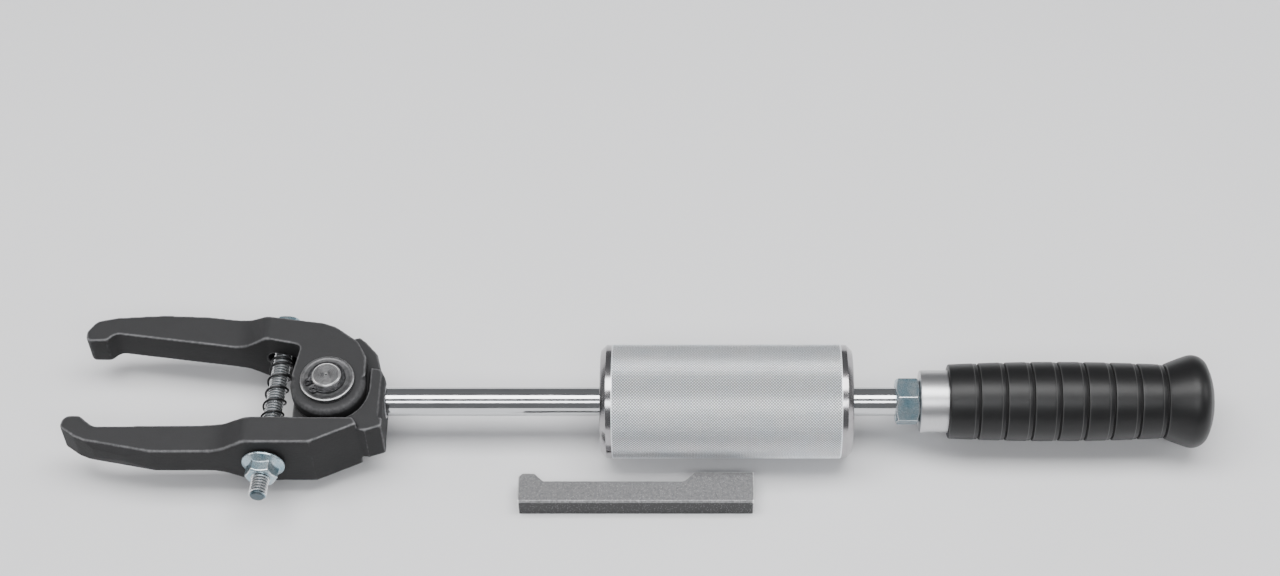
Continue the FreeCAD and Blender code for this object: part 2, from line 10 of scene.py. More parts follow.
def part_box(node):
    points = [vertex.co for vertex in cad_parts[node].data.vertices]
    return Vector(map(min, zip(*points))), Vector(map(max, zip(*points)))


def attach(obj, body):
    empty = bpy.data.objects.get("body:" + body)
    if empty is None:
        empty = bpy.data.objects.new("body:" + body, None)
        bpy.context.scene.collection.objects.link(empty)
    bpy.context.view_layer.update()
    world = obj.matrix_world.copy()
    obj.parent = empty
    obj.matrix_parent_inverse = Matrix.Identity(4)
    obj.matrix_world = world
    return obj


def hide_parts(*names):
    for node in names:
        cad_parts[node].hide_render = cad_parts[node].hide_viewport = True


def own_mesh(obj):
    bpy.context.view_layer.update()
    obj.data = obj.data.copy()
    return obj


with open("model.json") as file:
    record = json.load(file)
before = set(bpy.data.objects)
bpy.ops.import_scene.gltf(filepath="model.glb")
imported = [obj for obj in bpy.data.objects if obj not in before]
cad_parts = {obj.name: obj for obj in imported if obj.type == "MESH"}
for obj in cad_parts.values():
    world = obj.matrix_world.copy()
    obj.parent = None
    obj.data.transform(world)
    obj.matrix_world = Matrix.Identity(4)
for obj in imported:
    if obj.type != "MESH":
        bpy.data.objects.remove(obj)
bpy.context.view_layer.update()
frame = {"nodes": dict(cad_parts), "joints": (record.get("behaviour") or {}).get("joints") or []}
print("frame loaded")

# A ball joint separator: two forged claws on a pivot pin, a clamp bolt with its spring, a slide
# hammer on a chromed rod, a rubber grip, and the loose stepped bar that goes with them.
# Lengths in the settings are millimetres; the meshes are metres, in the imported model's own frame.

mm = 0.001
tipRadius = 1e-6  # an outline point nearer to its axis than this is a single tip
joinGap = 0.002 * mm
joints = {joint["name"]: joint for joint in frame["joints"]}


# shader tools

class Wire:
    # one output socket; arithmetic on it adds Math nodes
    def __init__(self, finish, socket):
        self.finish = finish
        self.socket = socket

    def maths(self, operation, *values):
        return self.finish.node("ShaderNodeMath", {"operation": operation}, dict(enumerate(values)))

    def __add__(self, other):
        return self.maths("ADD", self, other)

    __radd__ = __add__

    def __mul__(self, other):
        return self.maths("MULTIPLY", self, other)

    __rmul__ = __mul__

    def __sub__(self, other):
        return self.maths("SUBTRACT", self, other)

    def __rsub__(self, other):
        return self.maths("SUBTRACT", other, self)


class Finish:
    # a material, with one method that adds any node
    def __init__(self, name, **constants):
        self.material = bpy.data.materials.new(name)
        self.material.use_nodes = True
        self.tree = self.material.node_tree
        self.shader = self.tree.nodes["Principled BSDF"]
        for socket, value in constants.items():
            self.shader.inputs[socket.replace("_", " ")].default_value = value

    def node(self, kind, settings=None, sockets=None, output=0):
        made = self.tree.nodes.new(kind)
        for key, value in (settings or {}).items():
            if key == "stops":
                ramp = made.color_ramp
                for index, (place, shade) in enumerate(value):
                    stop = ramp.elements[index] if index < 2 else ramp.elements.new(place)
                    stop.position = place
                    stop.color = (shade, shade, shade, 1)
            else:
                setattr(made, key, value)
        for key, value in (sockets or {}).items():
            if isinstance(value, Wire):
                self.tree.links.new(value.socket, made.inputs[key])
            else:
                made.inputs[key].default_value = value
        return Wire(self, made.outputs[output])

    def place(self, stretch=(1, 1, 1)):
        # the point on the piece, in its own frame, stretched along an axis where asked
        point = self.node("ShaderNodeTexCoord", output=3)
        return self.node("ShaderNodeVectorMath", {"operation": "MULTIPLY"}, {0: point, 1: stretch})

    def grain(self, size, detail=3.0, rough=0.55, stretch=(1, 1, 1)):
        # soft noise from 0 to 1 whose blotches are about size millimetres wide
        sockets = {"Vector": self.place(stretch), "Scale": 1 / (size * mm), "Detail": detail,
                   "Roughness": rough}
        return self.node("ShaderNodeTexNoise", {"noise_dimensions": "3D"}, sockets)

    def specks(self, size):
        # distance to the nearest of many scattered points, 0 at each point
        return self.node("ShaderNodeTexVoronoi", {"feature": "F1"},
                         {"Vector": self.place(), "Scale": 1 / (size * mm)})

    def fade(self, value, low, high):
        # 0 below low, 1 above high
        return self.node("ShaderNodeValToRGB", {"stops": [(low, 0.0), (high, 1.0)]}, {"Fac": value})

    def painted(self, name):
        # a value kept on the mesh's points
        return self.node("ShaderNodeAttribute", {"attribute_name": name}, output=2)

    def mix(self, factor, first, second):
        sockets = {0: factor, 6: colour(first), 7: colour(second)}
        return self.node("ShaderNodeMix", {"data_type": "RGBA"}, sockets, output=2)

    def feed(self, **sockets):
        for name, wire in sockets.items():
            self.tree.links.new(wire.socket, self.shader.inputs[name.replace("_", " ")])

    def bump(self, height, strength, distance):
        sockets = {"Height": height, "Strength": strength, "Distance": distance * mm}
        self.feed(Normal=self.node("ShaderNodeBump", sockets=sockets))


def colour(value):
    # a plain triple gets its fourth number; a wire stays as it is
    return value if isinstance(value, Wire) else (*value, 1)


# finishes

def forgedSteel():
    # dark phosphated forging, scuffed pale along its edges where a painted highlight lies too, with
    # painted shade in its inner corners, level faces painted paler as top light, and bare metal
    # where it was machined
    look = {"dark": (0.007, 0.007, 0.0075), "light": (0.030, 0.030, 0.0315),
            "scuffedAndHighlit": (0.17, 0.17, 0.175), "bare": (0.55, 0.55, 0.56),
            "corner": (0.008, 0.008, 0.0085)}
    finish = Finish("forged steel", Metallic=0.35, Specular_IOR_Level=0.5)
    cloud = finish.grain(9.0, 5.0, 0.6)
    fine = finish.grain(0.7, 4.0, 0.7)
    patchy = finish.fade(finish.grain(3.5, 6.0, 0.75), 0.36, 0.62)
    # pale edges: scuffed wear and a painted highlight
    scuffAndHighlight = finish.fade(finish.painted("edge") * (0.7 + patchy * 0.6), 0.14, 0.7)
    # inner corners painted darker as painted shade
    hollow = finish.fade(finish.painted("hollow"), 0.05, 0.6)
    machined = finish.painted("machined")
    # level faces painted paler than the sides as painted top light
    paintedTopLight = finish.fade(finish.painted("paintedTopLight"), 0.08, 0.3)
    base = finish.mix(paintedTopLight * 0.75 + cloud * 0.2 + fine * 0.12, look["dark"], look["light"])
    base = finish.mix(scuffAndHighlight * 0.85, base, look["scuffedAndHighlit"])
    base = finish.mix(hollow * 0.6, base, look["corner"])
    base = finish.mix(machined, base, look["bare"])
    finish.feed(Base_Color=base, Roughness=0.58 + fine * 0.14 - scuffAndHighlight * 0.16 - machined * 0.3)
    pits = finish.fade(finish.specks(1.9), 0.04, 0.3)
    finish.bump(fine * 0.8 + pits * 0.5 + cloud * 1.5, 0.5, 0.14)
    return finish.material


def pinSteel():
    # ground steel gone slightly dull, with handling marks, bright rubbed edges that are also a
    # painted highlight, and painted shade in its hollows
    look = {"dark": (0.09, 0.09, 0.092), "light": (0.20, 0.20, 0.205), "rubbedAndHighlit": (0.85, 0.85, 0.85),
            "paintedShade": (0.02, 0.02, 0.02)}
    finish = Finish("pin steel", Metallic=1.0)
    stain = finish.grain(3.2, 6.0, 0.7)
    fine = finish.grain(0.35, 3.0)
    # bright edges: rubbed wear and a painted highlight, as on the washers' rolled rims
    rubAndHighlight = finish.fade(finish.painted("edge") * (0.6 + stain * 0.8), 0.2, 0.7)
    base = finish.mix(finish.fade(stain, 0.3, 0.7), look["dark"], look["light"])
    # hollows painted darker as painted shade
    base = finish.mix(finish.fade(finish.painted("hollow"), 0.1, 0.6) * 0.8, base, look["paintedShade"])
    finish.feed(Base_Color=finish.mix(rubAndHighlight, base, look["rubbedAndHighlit"]),
                Roughness=0.30 + stain * 0.2 + fine * 0.08 - rubAndHighlight * 0.12)
    finish.bump(fine, 0.25, 0.05)
    return finish.material


def clipSteel():
    # blackened spring steel
    finish = Finish("clip steel", Metallic=0.8)
    wear = finish.fade(finish.grain(1.3, 5.0, 0.7), 0.45, 0.75)
    finish.feed(Base_Color=finish.mix(wear, (0.03, 0.03, 0.032), (0.12, 0.12, 0.125)),
                Roughness=0.34 + wear * 0.2)
    finish.bump(finish.grain(0.3), 0.2, 0.03)
    return finish.material


def zinc():
    # bright zinc plating with its blue passivation, yellower in places, with bright rubbed edges
    # that are also a painted highlight and painted shade in its hollows
    look = {"blue": (0.24, 0.39, 0.47), "pale": (0.50, 0.58, 0.62), "warm": (0.50, 0.48, 0.46),
            "rubbedAndHighlit": (0.86, 0.87, 0.88), "paintedShade": (0.035, 0.037, 0.04)}
    finish = Finish("zinc", Metallic=0.86)
    tint = finish.fade(finish.grain(6.0, 3.0, 0.5), 0.34, 0.68)
    warm = finish.fade(finish.grain(8.0, 3.0), 0.52, 0.74)
    dull = finish.grain(0.5, 4.0, 0.7)
    # bright edges and thread crests: rubbed wear and a painted highlight
    rubAndHighlight = finish.fade(finish.painted("edge") * (0.7 + dull * 0.6), 0.2, 0.7)
    base = finish.mix(tint, look["blue"], look["pale"])
    base = finish.mix(warm * 0.35, base, look["warm"])
    # hollows and thread roots painted darker as painted shade
    base = finish.mix(finish.fade(finish.painted("hollow"), 0.1, 0.6) * 0.8, base, look["paintedShade"])
    finish.feed(Base_Color=finish.mix(rubAndHighlight, base, look["rubbedAndHighlit"]),
                Roughness=0.20 + dull * 0.16 - rubAndHighlight * 0.06)
    finish.bump(dull, 0.2, 0.05)
    return finish.material


def springWire():
    # oiled black spring wire, drawn lengthwise
    finish = Finish("spring wire", Metallic=0.6)
    wear = finish.grain(0.8, 4.0, 0.7)
    finish.feed(Base_Color=finish.mix(wear, (0.012, 0.012, 0.013), (0.05, 0.05, 0.052)),
                Roughness=0.26 + wear * 0.16)
    finish.bump(wear, 0.15, 0.03)
    return finish.material


def rodChrome():
    # hard chrome with faint lengthwise rubs left by the weight
    finish = Finish("rod chrome", Metallic=1.0)
    rubs = finish.grain(0.9, 5.0, 0.65, stretch=(0.03, 1, 1))
    smears = finish.fade(finish.grain(14.0, 5.0, 0.65), 0.42, 0.75)
    base = finish.mix(finish.fade(rubs, 0.52, 0.78) * 0.5, (0.62, 0.63, 0.64), (0.44, 0.45, 0.46))
    finish.feed(Base_Color=base, Roughness=0.05 + rubs * 0.07 + smears * 0.08)
    finish.bump(rubs, 0.08, 0.03)
    return finish.material


def knurlPlate():
    # plated knurling: every diamond catches the light a little differently, and the grooves between
    # them are painted dark as painted shade
    finish = Finish("knurl plate", Metallic=0.62)
    cloud = finish.grain(16.0, 4.0, 0.6)
    fine = finish.grain(0.6, 3.0, 0.7)
    base = finish.mix(finish.fade(cloud, 0.35, 0.65), (0.90, 0.95, 1.0), (0.97, 0.98, 1.0))
    base = finish.mix(finish.fade(fine, 0.55, 0.8) * 0.3, base, (0.70, 0.73, 0.77))
    # grooves between the diamonds painted dark as painted shade
    base = finish.mix(finish.fade(finish.painted("valley"), 0.56, 0.94), base, (0.06, 0.064, 0.07))
    finish.feed(Base_Color=base, Roughness=0.26 + fine * 0.14)
    return finish.material


def weightEnds():
    # the weight's polished bevels, plated, with fine turning marks round the axis
    finish = Finish("weight ends", Metallic=1.0)
    rings = finish.grain(0.35, 3.0, 0.6, stretch=(1, 0.02, 0.02))
    smears = finish.fade(finish.grain(7.0, 5.0, 0.65), 0.4, 0.75)
    finish.feed(Base_Color=finish.mix(smears * 0.5, (0.42, 0.41, 0.42), (0.26, 0.245, 0.25)),
                Roughness=0.11 + rings * 0.08 + smears * 0.10)
    finish.bump(rings, 0.12, 0.03)
    return finish.material


def collarAluminium():
    # satin turned aluminium, brushed round the axis
    finish = Finish("collar aluminium", Metallic=1.0)
    rings = finish.grain(0.25, 4.0, 0.7, stretch=(1, 0.03, 0.03))
    fine = finish.grain(0.4, 3.0, 0.7)
    finish.feed(Base_Color=finish.mix(rings, (0.50, 0.50, 0.51), (0.66, 0.66, 0.67)),
                Roughness=0.27 + rings * 0.10 + fine * 0.08)
    finish.bump(rings * 0.6 + fine * 0.4, 0.18, 0.05)
    return finish.material


def coreSteel():
    # plain drawn tube and plated fasteners inside the grip
    finish = Finish("core steel", Metallic=1.0)
    rubs = finish.grain(1.2, 4.0, 0.6, stretch=(0.1, 1, 1))
    finish.feed(Base_Color=finish.mix(rubs, (0.30, 0.30, 0.31), (0.50, 0.50, 0.51)),
                Roughness=0.3 + rubs * 0.15)
    finish.bump(rubs, 0.15, 0.05)
    return finish.material


def gripRubber():
    # satin black rubber, varying faintly in tone, with a painted highlight on the lip before each
    # groove and painted shade in its grooves, which are rougher too
    finish = Finish("grip rubber", Specular_IOR_Level=0.36)
    cloud = finish.grain(12.0, 5.0, 0.6)
    fine = finish.grain(0.45, 4.0, 0.75)
    groove = finish.painted("groove")
    lip = finish.painted("lip")
    base = finish.mix(cloud * 0.6 + fine * 0.4, (0.004, 0.004, 0.0043), (0.011, 0.011, 0.0114))
    # grooves painted darker as painted shade
    base = finish.mix(groove * 0.9, base, (0.003, 0.003, 0.003))
    # a painted highlight along each groove's lip
    base = finish.mix(lip * (0.35 + cloud * 0.5), base, (0.07, 0.07, 0.07))
    finish.feed(Base_Color=base, Roughness=0.30 + fine * 0.12 + cloud * 0.08 + groove * 0.3)
    finish.bump(fine * 0.7 + cloud * 0.6, 0.3, 0.08)
    return finish.material


def barSteel():
    # bead-blasted bar with a painted sparkle of single grains, paler rubbed edges that are also a
    # painted highlight, and sides painted darker than its level faces as painted shade
    finish = Finish("bar steel", Metallic=0.6)
    fine = finish.grain(0.45, 3.0, 0.8)
    mottled = finish.grain(1.6, 4.0, 0.75)
    glints = 1 - finish.fade(finish.specks(0.9), 0.10, 0.24)
    # pale edges: rubbed wear and a painted highlight
    rubAndHighlight = finish.fade(finish.painted("edge") * (0.5 + mottled), 0.25, 0.7)
    # sides painted darker than level faces as painted shade
    paintedTopLight = finish.fade(finish.painted("paintedTopLight"), 0.3, 0.8)
    base = finish.mix(finish.fade(fine * 0.55 + mottled * 0.45, 0.36, 0.64),
                      (0.09, 0.09, 0.092), (0.24, 0.24, 0.245))
    base = finish.mix(paintedTopLight, (0.05, 0.05, 0.051), base)
    base = finish.mix(glints * 0.5, base, (0.72, 0.72, 0.72))
    base = finish.mix(rubAndHighlight * 0.9, base, (0.92, 0.92, 0.92))
    finish.feed(Base_Color=base, Roughness=0.46 + fine * 0.14 - rubAndHighlight * 0.2)
    finish.bump(fine * 0.6 + mottled * 0.5, 0.45, 0.12)
    return finish.material


def paleFloor():
    finish = Finish("pale floor", Specular_IOR_Level=0.2)
    cloud = finish.grain(260.0, 3.0)
    finish.feed(Base_Color=finish.mix(cloud, (0.74, 0.74, 0.75), (0.80, 0.80, 0.81)),
                Roughness=0.72 + cloud * 0.08)
    return finish.material


finishes = {
    "forged_steel": forgedSteel(),
    "pin_steel": pinSteel(),
    "clip_steel": clipSteel(),
    "zinc": zinc(),
    "spring_wire": springWire(),
    "rod_chrome": rodChrome(),
    "weight_plate": weightEnds(),
    "collar_aluminium": collarAluminium(),
    "core_steel": coreSteel(),
    "grip_rubber": gripRubber(),
    "bar_steel": barSteel(),
}
print("finishes made")


# mesh tools

def addPiece(name, mesh, slot, body, *nodes):
    # a new piece with its finish, riding on a body and standing for the named solids
    piece = bpy.data.objects.new(name, mesh)
    bpy.context.scene.collection.objects.link(piece)
    if not mesh.materials:
        mesh.materials.append(finishes[slot])
    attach(piece, body)
    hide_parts(*nodes)
    print(f"{name}: {len(mesh.vertices)} points")
    return piece


def along(origin, direction):
    # a frame whose X runs along direction and whose Z stays as near upright as it can
    x = Vector(direction).normalized()
    upright = Vector((0, 0, 1)) if abs(x.z) < 0.9 else Vector((1, 0, 0))
    y = upright.cross(x).normalized()
    turn = Matrix((x, y, x.cross(y))).transposed().to_4x4()
    return Matrix.Translation(Vector(origin)) @ turn


def softLine(points, steps=4):
    # a closed outline of (along, radius, corner cut) points with each corner rounded
    line = []
    for index, point in enumerate(points):
        here = Vector(point[:2])
        cut = point[2] if len(point) > 2 else 0
        if not cut:
            line.append(here)
            continue
        before = here + (Vector(points[index - 1][:2]) - here).normalized() * cut
        after = here + (Vector(points[(index + 1) % len(points)][:2]) - here).normalized() * cut
        for step in range(steps + 1):
            t = step / steps
            line.append(before * (1 - t) ** 2 + here * 2 * t * (1 - t) + after * t * t)
    return line


def turnedMesh(name, line, place, sides, sharp=32):
    # an outline in millimetres turned about the frame's X; a point at radius 0 becomes a tip
    points = []
    rows = []
    for reach, radius in line:
        rows.append(len(points))
        count = sides if radius > tipRadius else 1
        for side in range(count):
            angle = 2 * math.pi * side / sides
            points.append((reach * mm, radius * mm * math.cos(angle),
                           radius * mm * math.sin(angle)))
    faces = []
    sizes = [sides if radius > tipRadius else 1 for _, radius in line]
    for index in range(len(line)):
        following = (index + 1) % len(line)
        if sizes[index] == 1 and sizes[following] == 1:
            continue
        for side in range(sides):
            turn = (side + 1) % sides
            corners = [rows[index] + side % sizes[index], rows[index] + turn % sizes[index],
                       rows[following] + turn % sizes[following],
                       rows[following] + side % sizes[following]]
            faces.append(list(dict.fromkeys(corners)))
    return closedMesh(name, points, faces, place, sharp)


def closedMesh(name, points, faces, place, sharp):
    mesh = bpy.data.meshes.new(name)
    mesh.from_pydata(points, [], faces)
    work = bmesh.new()
    work.from_mesh(mesh)
    bmesh.ops.transform(work, matrix=place, verts=work.verts)
    bmesh.ops.recalc_face_normals(work, faces=work.faces)
    work.to_mesh(mesh)
    work.free()
    mesh.shade_smooth()
    mesh.set_sharp_from_angle(angle=math.radians(sharp))
    return mesh


def paint(mesh, name, values):
    # one value for each point, for the finish to read
    layer = mesh.attributes.new(name, "FLOAT", "POINT")
    layer.data.foreach_set("value", np.asarray(values, np.float32))


def pointsOf(mesh):
    found = np.empty(len(mesh.vertices) * 3)
    mesh.vertices.foreach_get("co", found)
    return found.reshape(-1, 3)


def normalsOf(mesh):
    found = np.empty(len(mesh.vertices) * 3)
    mesh.vertices.foreach_get("normal", found)
    return found.reshape(-1, 3)


def bendOf(mesh, blurs=1):
    # how sharply the skin bends at each point: above 0 on an outer edge, below 0 in a corner
    points = pointsOf(mesh)
    normals = normalsOf(mesh)
    edges = np.empty(len(mesh.edges) * 2, np.int64)
    mesh.edges.foreach_get("vertices", edges)
    first, second = edges.reshape(-1, 2).T
    gap = points[first] - points[second]
    gap /= np.maximum(np.linalg.norm(gap, axis=1), 1e-9)[:, None]
    bend = np.zeros(len(points))
    links = np.zeros(len(points))
    np.add.at(bend, first, np.einsum("ij,ij->i", normals[first], gap))
    np.add.at(bend, second, -np.einsum("ij,ij->i", normals[second], gap))
    np.add.at(links, edges, 1)
    bend /= np.maximum(links, 1)
    for _ in range(blurs):
        near = bend.copy()
        np.add.at(near, first, bend[second])
        np.add.at(near, second, bend[first])
        bend = near / (links + 1)
    return bend


def paintEdges(mesh, scale, blurs=1):
    # outer edges for rubbed wear with a painted highlight, inner corners for painted shade, and
    # level faces for painted top light
    bend = bendOf(mesh, blurs) * scale
    paint(mesh, "edge", np.clip(bend, 0, 1))
    paint(mesh, "hollow", np.clip(-bend, 0, 1))
    # how level each face is, for level faces painted paler as top light
    paint(mesh, "paintedTopLight", np.abs(normalsOf(mesh)[:, 2]))


def meshWith(name, mesh, modifiers):
    # the mesh after a list of (kind, settings) modifiers
    helper = bpy.data.objects.new(name + "Helper", mesh)
    bpy.context.scene.collection.objects.link(helper)
    for kind, settings in modifiers:
        modifier = helper.modifiers.new(kind.lower(), kind)
        for key, value in settings.items():
            setattr(modifier, key, value)
    shown = helper.evaluated_get(bpy.context.evaluated_depsgraph_get())
    made = bpy.data.meshes.new_from_object(shown)
    bpy.data.objects.remove(helper)
    made.name = name
    return made


def solidMesh(name, node, cut, edgeAngle=28):
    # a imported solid's own shape with flat faces made whole and its edges eased by cut millimetres
    faceAngle = 1.0
    mesh = frame["nodes"][node].data.copy()
    mesh.materials.clear()
    work = bmesh.new()
    work.from_mesh(mesh)
    bmesh.ops.remove_doubles(work, verts=work.verts, dist=joinGap)
    bmesh.ops.dissolve_limit(work, angle_limit=math.radians(faceAngle), verts=work.verts,
                             edges=work.edges)
    work.to_mesh(mesh)
    work.free()
    eased = {"width": cut * mm, "segments": 2, "limit_method": "ANGLE",
             "angle_limit": math.radians(edgeAngle), "use_clamp_overlap": True}
    mesh = meshWith(name, mesh, [("BEVEL", eased)])
    mesh.shade_smooth()
    mesh.set_sharp_from_angle(angle=math.radians(edgeAngle))
    return mesh


def wornMesh(name, node, worn):
    # a imported solid's shape with an even skin, its edges eased and painted as rubbed with a
    # painted highlight, with painted shade in corners and painted top light on level faces
    mesh = solidMesh(name, node, worn["cut"], edgeAngle=worn.get("edgeAngle", 28))
    mesh = meshWith(name, mesh, [
        ("TRIANGULATE", {}),
        ("REMESH", {"mode": "VOXEL", "voxel_size": worn["skin"] * mm}),
        ("SMOOTH", {"factor": 0.5, "iterations": worn["softening"]}),
    ])
    mesh.shade_smooth()
    paintEdges(mesh, worn["edgeScale"], worn["edgeBlur"])
    return mesh


# the rod's line, which most of the turned pieces share

rodLow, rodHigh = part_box("slide_rod")
rodLine = along((0, (rodLow.y + rodHigh.y) / 2, (rodLow.z + rodHigh.z) / 2), (1, 0, 0))


def span(node):
    # where a node starts and ends along the rod, and its outer radius, in millimetres
    low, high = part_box(node)
    return low.x / mm, high.x / mm, (high.z - low.z) / 2 / mm


# jaws

def forgedJaw(name, node, body, seed):
    # the forging's skin: even, worn round at its edges, slightly uneven and pitted, and sunk so
    # that its bumps stay inside the solid's shape
    jaw = {"skin": 0.5, "weld": 0.004, "softening": 22, "swell": 0.06, "swellSize": 11.0,
           "pit": 0.03, "pitSize": 1.4, "sink": 0.12, "edgeScale": 7.0, "edgeBlur": 3,
           "boreRadius": 9.4, "boreStart": 29.2}
    mesh = frame["nodes"][node].data.copy()
    mesh.materials.clear()
    mesh = meshWith(name, mesh, [
        ("WELD", {"merge_threshold": jaw["weld"] * mm}),
        ("REMESH", {"mode": "VOXEL", "voxel_size": jaw["skin"] * mm}),
        ("SMOOTH", {"factor": 0.5, "iterations": jaw["softening"]}),
    ])
    offset = Vector((seed, 0, 0))
    points = pointsOf(mesh)
    swell = [noise.noise(Vector(point) / (jaw["swellSize"] * mm) + offset) for point in points]
    pit = [noise.noise(Vector(point) / (jaw["pitSize"] * mm) + offset) for point in points]
    lift = np.array(swell) * jaw["swell"] + np.array(pit) * jaw["pit"] - jaw["sink"]
    points += normalsOf(mesh) * lift[:, None] * mm
    mesh.vertices.foreach_set("co", points.ravel())
    mesh.update()
    mesh.shade_smooth()
    # edges painted for rubbed wear with a painted highlight, corners for painted shade, level faces
    # for painted top light
    paintEdges(mesh, jaw["edgeScale"], jaw["edgeBlur"])
    points = pointsOf(mesh) / mm
    pivot = Vector(joints["jaw_swing"]["pos_m"]) / mm
    fromRod = np.hypot(points[:, 1] - pivot.y, points[:, 2] - rodLine.translation.z / mm)
    bare = (fromRod < jaw["boreRadius"]) & (points[:, 0] > pivot.x + jaw["boreStart"])
    paint(mesh, "machined", bare)
    return addPiece(name, mesh, "forged_steel", body, node)


forgedJaw("fixedClaw", "fixed_jaw", "root", 3.0)
forgedJaw("swingClaw", "moving_jaw", "swing_jaw", 17.0)


# pivot

def pivotPin():
    # the pin's ends show the rings left by facing and a small centre mark
    pin = {"chamfer": 0.8, "ringPitch": 0.9, "ringDepth": 0.07, "centre": 0.9, "centreDepth": 0.35,
           "groove": 0.5, "sides": 96, "sharp": 24, "edgeScale": 4.0, "edgeBlur": 0}
    chamferBulge = (0.25, 0.4)  # the chamfer's middle: below the face, and inside the rim
    low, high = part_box("pivot_pin")
    half = (high.z - low.z) / 2 / mm
    radius = (high.x - low.x) / 2 / mm
    clipLow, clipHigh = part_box("circlip_upper")
    middle = (low + high) / 2
    grooveLow = (clipLow.z - middle.z) / mm
    grooveHigh = (clipHigh.z - middle.z) / mm
    face = [(half - pin["centreDepth"], 0), (half - 0.1, pin["centre"] * 0.7),
            (half, pin["centre"])]
    rings = int((radius - pin["chamfer"] - pin["centre"]) / pin["ringPitch"] * 4)
    for step in range(1, rings):
        reach = pin["centre"] + step * pin["ringPitch"] / 4
        face.append((half - pin["ringDepth"] * (step % 4 == 2), reach))
    face += [(half, radius - pin["chamfer"]), (half - chamferBulge[0], radius - chamferBulge[1]),
             (half - pin["chamfer"], radius), (grooveHigh, radius),
             (grooveHigh, radius - pin["groove"]), (grooveLow, radius - pin["groove"]),
             (grooveLow, radius)]
    line = [(-reach, at) for reach, at in face] + list(reversed(face))
    mesh = turnedMesh("pivotPin", line, along(middle, (0, 0, 1)), pin["sides"], pin["sharp"])
    # edges painted for rubbed wear with a painted highlight, corners for painted shade
    paintEdges(mesh, pin["edgeScale"], pin["edgeBlur"])
    addPiece("pivotPin", mesh, "pin_steel", "root", "pivot_pin")


def pivotWasher(name, node):
    # a hardened washer, slightly dished between its bore and its rolled rim
    washer = {"rim": 0.9, "dish": 0.18, "bore": 0.35, "play": 0.1, "dishStart": 1.6, "dishEnd": 0.8,
              "dishRound": 0.4, "rimSteps": 6, "sides": 128, "sharp": 35, "edgeScale": 6.0,
              "edgeBlur": 0}
    low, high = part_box(node)
    thick = (high.z - low.z) / mm
    radius = (high.x - low.x) / 2 / mm
    pinLow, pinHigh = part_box("pivot_pin")
    bore = (pinHigh.x - pinLow.x) / 2 / mm + washer["play"]
    rim = radius - washer["rim"] * 1.7
    line = softLine([
        (0, bore, washer["bore"]), (thick, bore, washer["bore"]),
        (thick - washer["dish"], bore + washer["dishStart"]),
        (thick - washer["dish"], rim - washer["dishEnd"]), (thick, rim, washer["dishRound"]),
        (thick, radius, washer["rim"]), (0, radius, washer["rim"]),
    ], washer["rimSteps"])
    middle = (low + high) / 2
    outward = 1 if middle.z > rodLine.translation.z else -1
    base = middle - Vector((0, 0, outward * thick * mm / 2))
    mesh = turnedMesh(name, line, along(base, (0, 0, outward)), washer["sides"], washer["sharp"])
    # the rolled rim painted bright as a painted highlight, corners painted for shade
    paintEdges(mesh, washer["edgeScale"], washer["edgeBlur"])
    addPiece(name, mesh, "pin_steel", "root", node)


pivotPin()
pivotWasher("washerUpper", "pivot_washer_upper")
pivotWasher("washerLower", "pivot_washer_lower")
clipCut = 0.16
for clipName, clipNode in (("clipUpper", "circlip_upper"), ("clipLower", "circlip_lower")):
    addPiece(clipName, solidMesh(clipName, clipNode, clipCut), "clip_steel", "root", clipNode)


# clamp bolt, nut and spring, along the bolt's own line

boltWay = -Vector(joints["nut_spin"]["axis"])
if boltWay.y < 0:
    boltWay = -boltWay  # from the free end in front to the head behind
boltPoint = Vector(joints["nut_spin"]["pos_m"])


def reachAlong(node):
    # the lowest and highest reach of a node along the bolt's line, in millimetres
    reach = (pointsOf(frame["nodes"][node].data) - np.array(boltPoint)) @ np.array(boltWay)
    return reach.min() / mm, reach.max() / mm


def threadMesh(name, start, end, place, thread):
    # a screw thread as one helical strip whose ends run out into plain rings
    pitch = thread["pitch"]
    sides = thread["sides"]
    stations = [(0.0, thread["crest"]), (0.28, thread["crest"]), (0.54, thread["root"]),
                (0.76, thread["root"])]
    count = (int((end - start) / pitch) + 3) * len(stations)
    points = []
    for index in range(count):
        phase, radius = stations[index % len(stations)]
        for side in range(sides):
            turn = side / sides
            reach = start + pitch * (index // len(stations) + phase + turn - 1)
            reach = min(max(reach, start), end)
            fromEnd = min(reach - start, end - reach)
            reduced = min(radius, thread["end"] + fromEnd)
            angle = turn * 2 * math.pi
            points.append((reach * mm, reduced * mm * math.cos(angle),
                           reduced * mm * math.sin(angle)))
    faces = []
    for index in range(count - 1):
        for side in range(sides):
            near = index * sides + side
            if side < sides - 1:
                faces.append((near, near + sides, near + sides + 1, near + 1))
            elif index + len(stations) + 1 < count:
                far = (index + len(stations)) * sides
                faces.append((near, near + sides, far + sides, far))
    mesh = bpy.data.meshes.new(name)
    mesh.from_pydata(points, [], faces)
    work = bmesh.new()
    work.from_mesh(mesh)
    bmesh.ops.remove_doubles(work, verts=work.verts, dist=joinGap / 2)
    bmesh.ops.dissolve_degenerate(work, edges=work.edges, dist=joinGap / 2)
    bmesh.ops.holes_fill(work, edges=[edge for edge in work.edges if edge.is_boundary])
    bmesh.ops.transform(work, matrix=place, verts=work.verts)
    bmesh.ops.recalc_face_normals(work, faces=work.faces)
    work.to_mesh(mesh)
    work.free()
    return mesh


def paintThread(mesh, line, bolt):
    # bright crests as a painted highlight, painted shade in the roots and a duller end face on the
    # thread, and nothing on the head
    places = [line.inverted() @ vertex.co for vertex in mesh.vertices]
    radii = np.array([place.yz.length for place in places]) / mm
    depth = (bolt["crest"] - radii) / (bolt["crest"] - bolt["root"])
    # crests painted bright as a painted highlight
    paint(mesh, "edge", np.clip(1 - np.abs(depth) * 3, 0, 1))
    # roots painted darker as painted shade
    paintedShade = np.clip(depth * 2 - 0.9, 0, 1) * (radii > bolt["root"] - 0.1)
    reach = np.array([place.x for place in places]) / mm
    endFace = reach < reach.min() + 0.2
    paint(mesh, "hollow", np.where(endFace, bolt["endDull"], paintedShade))


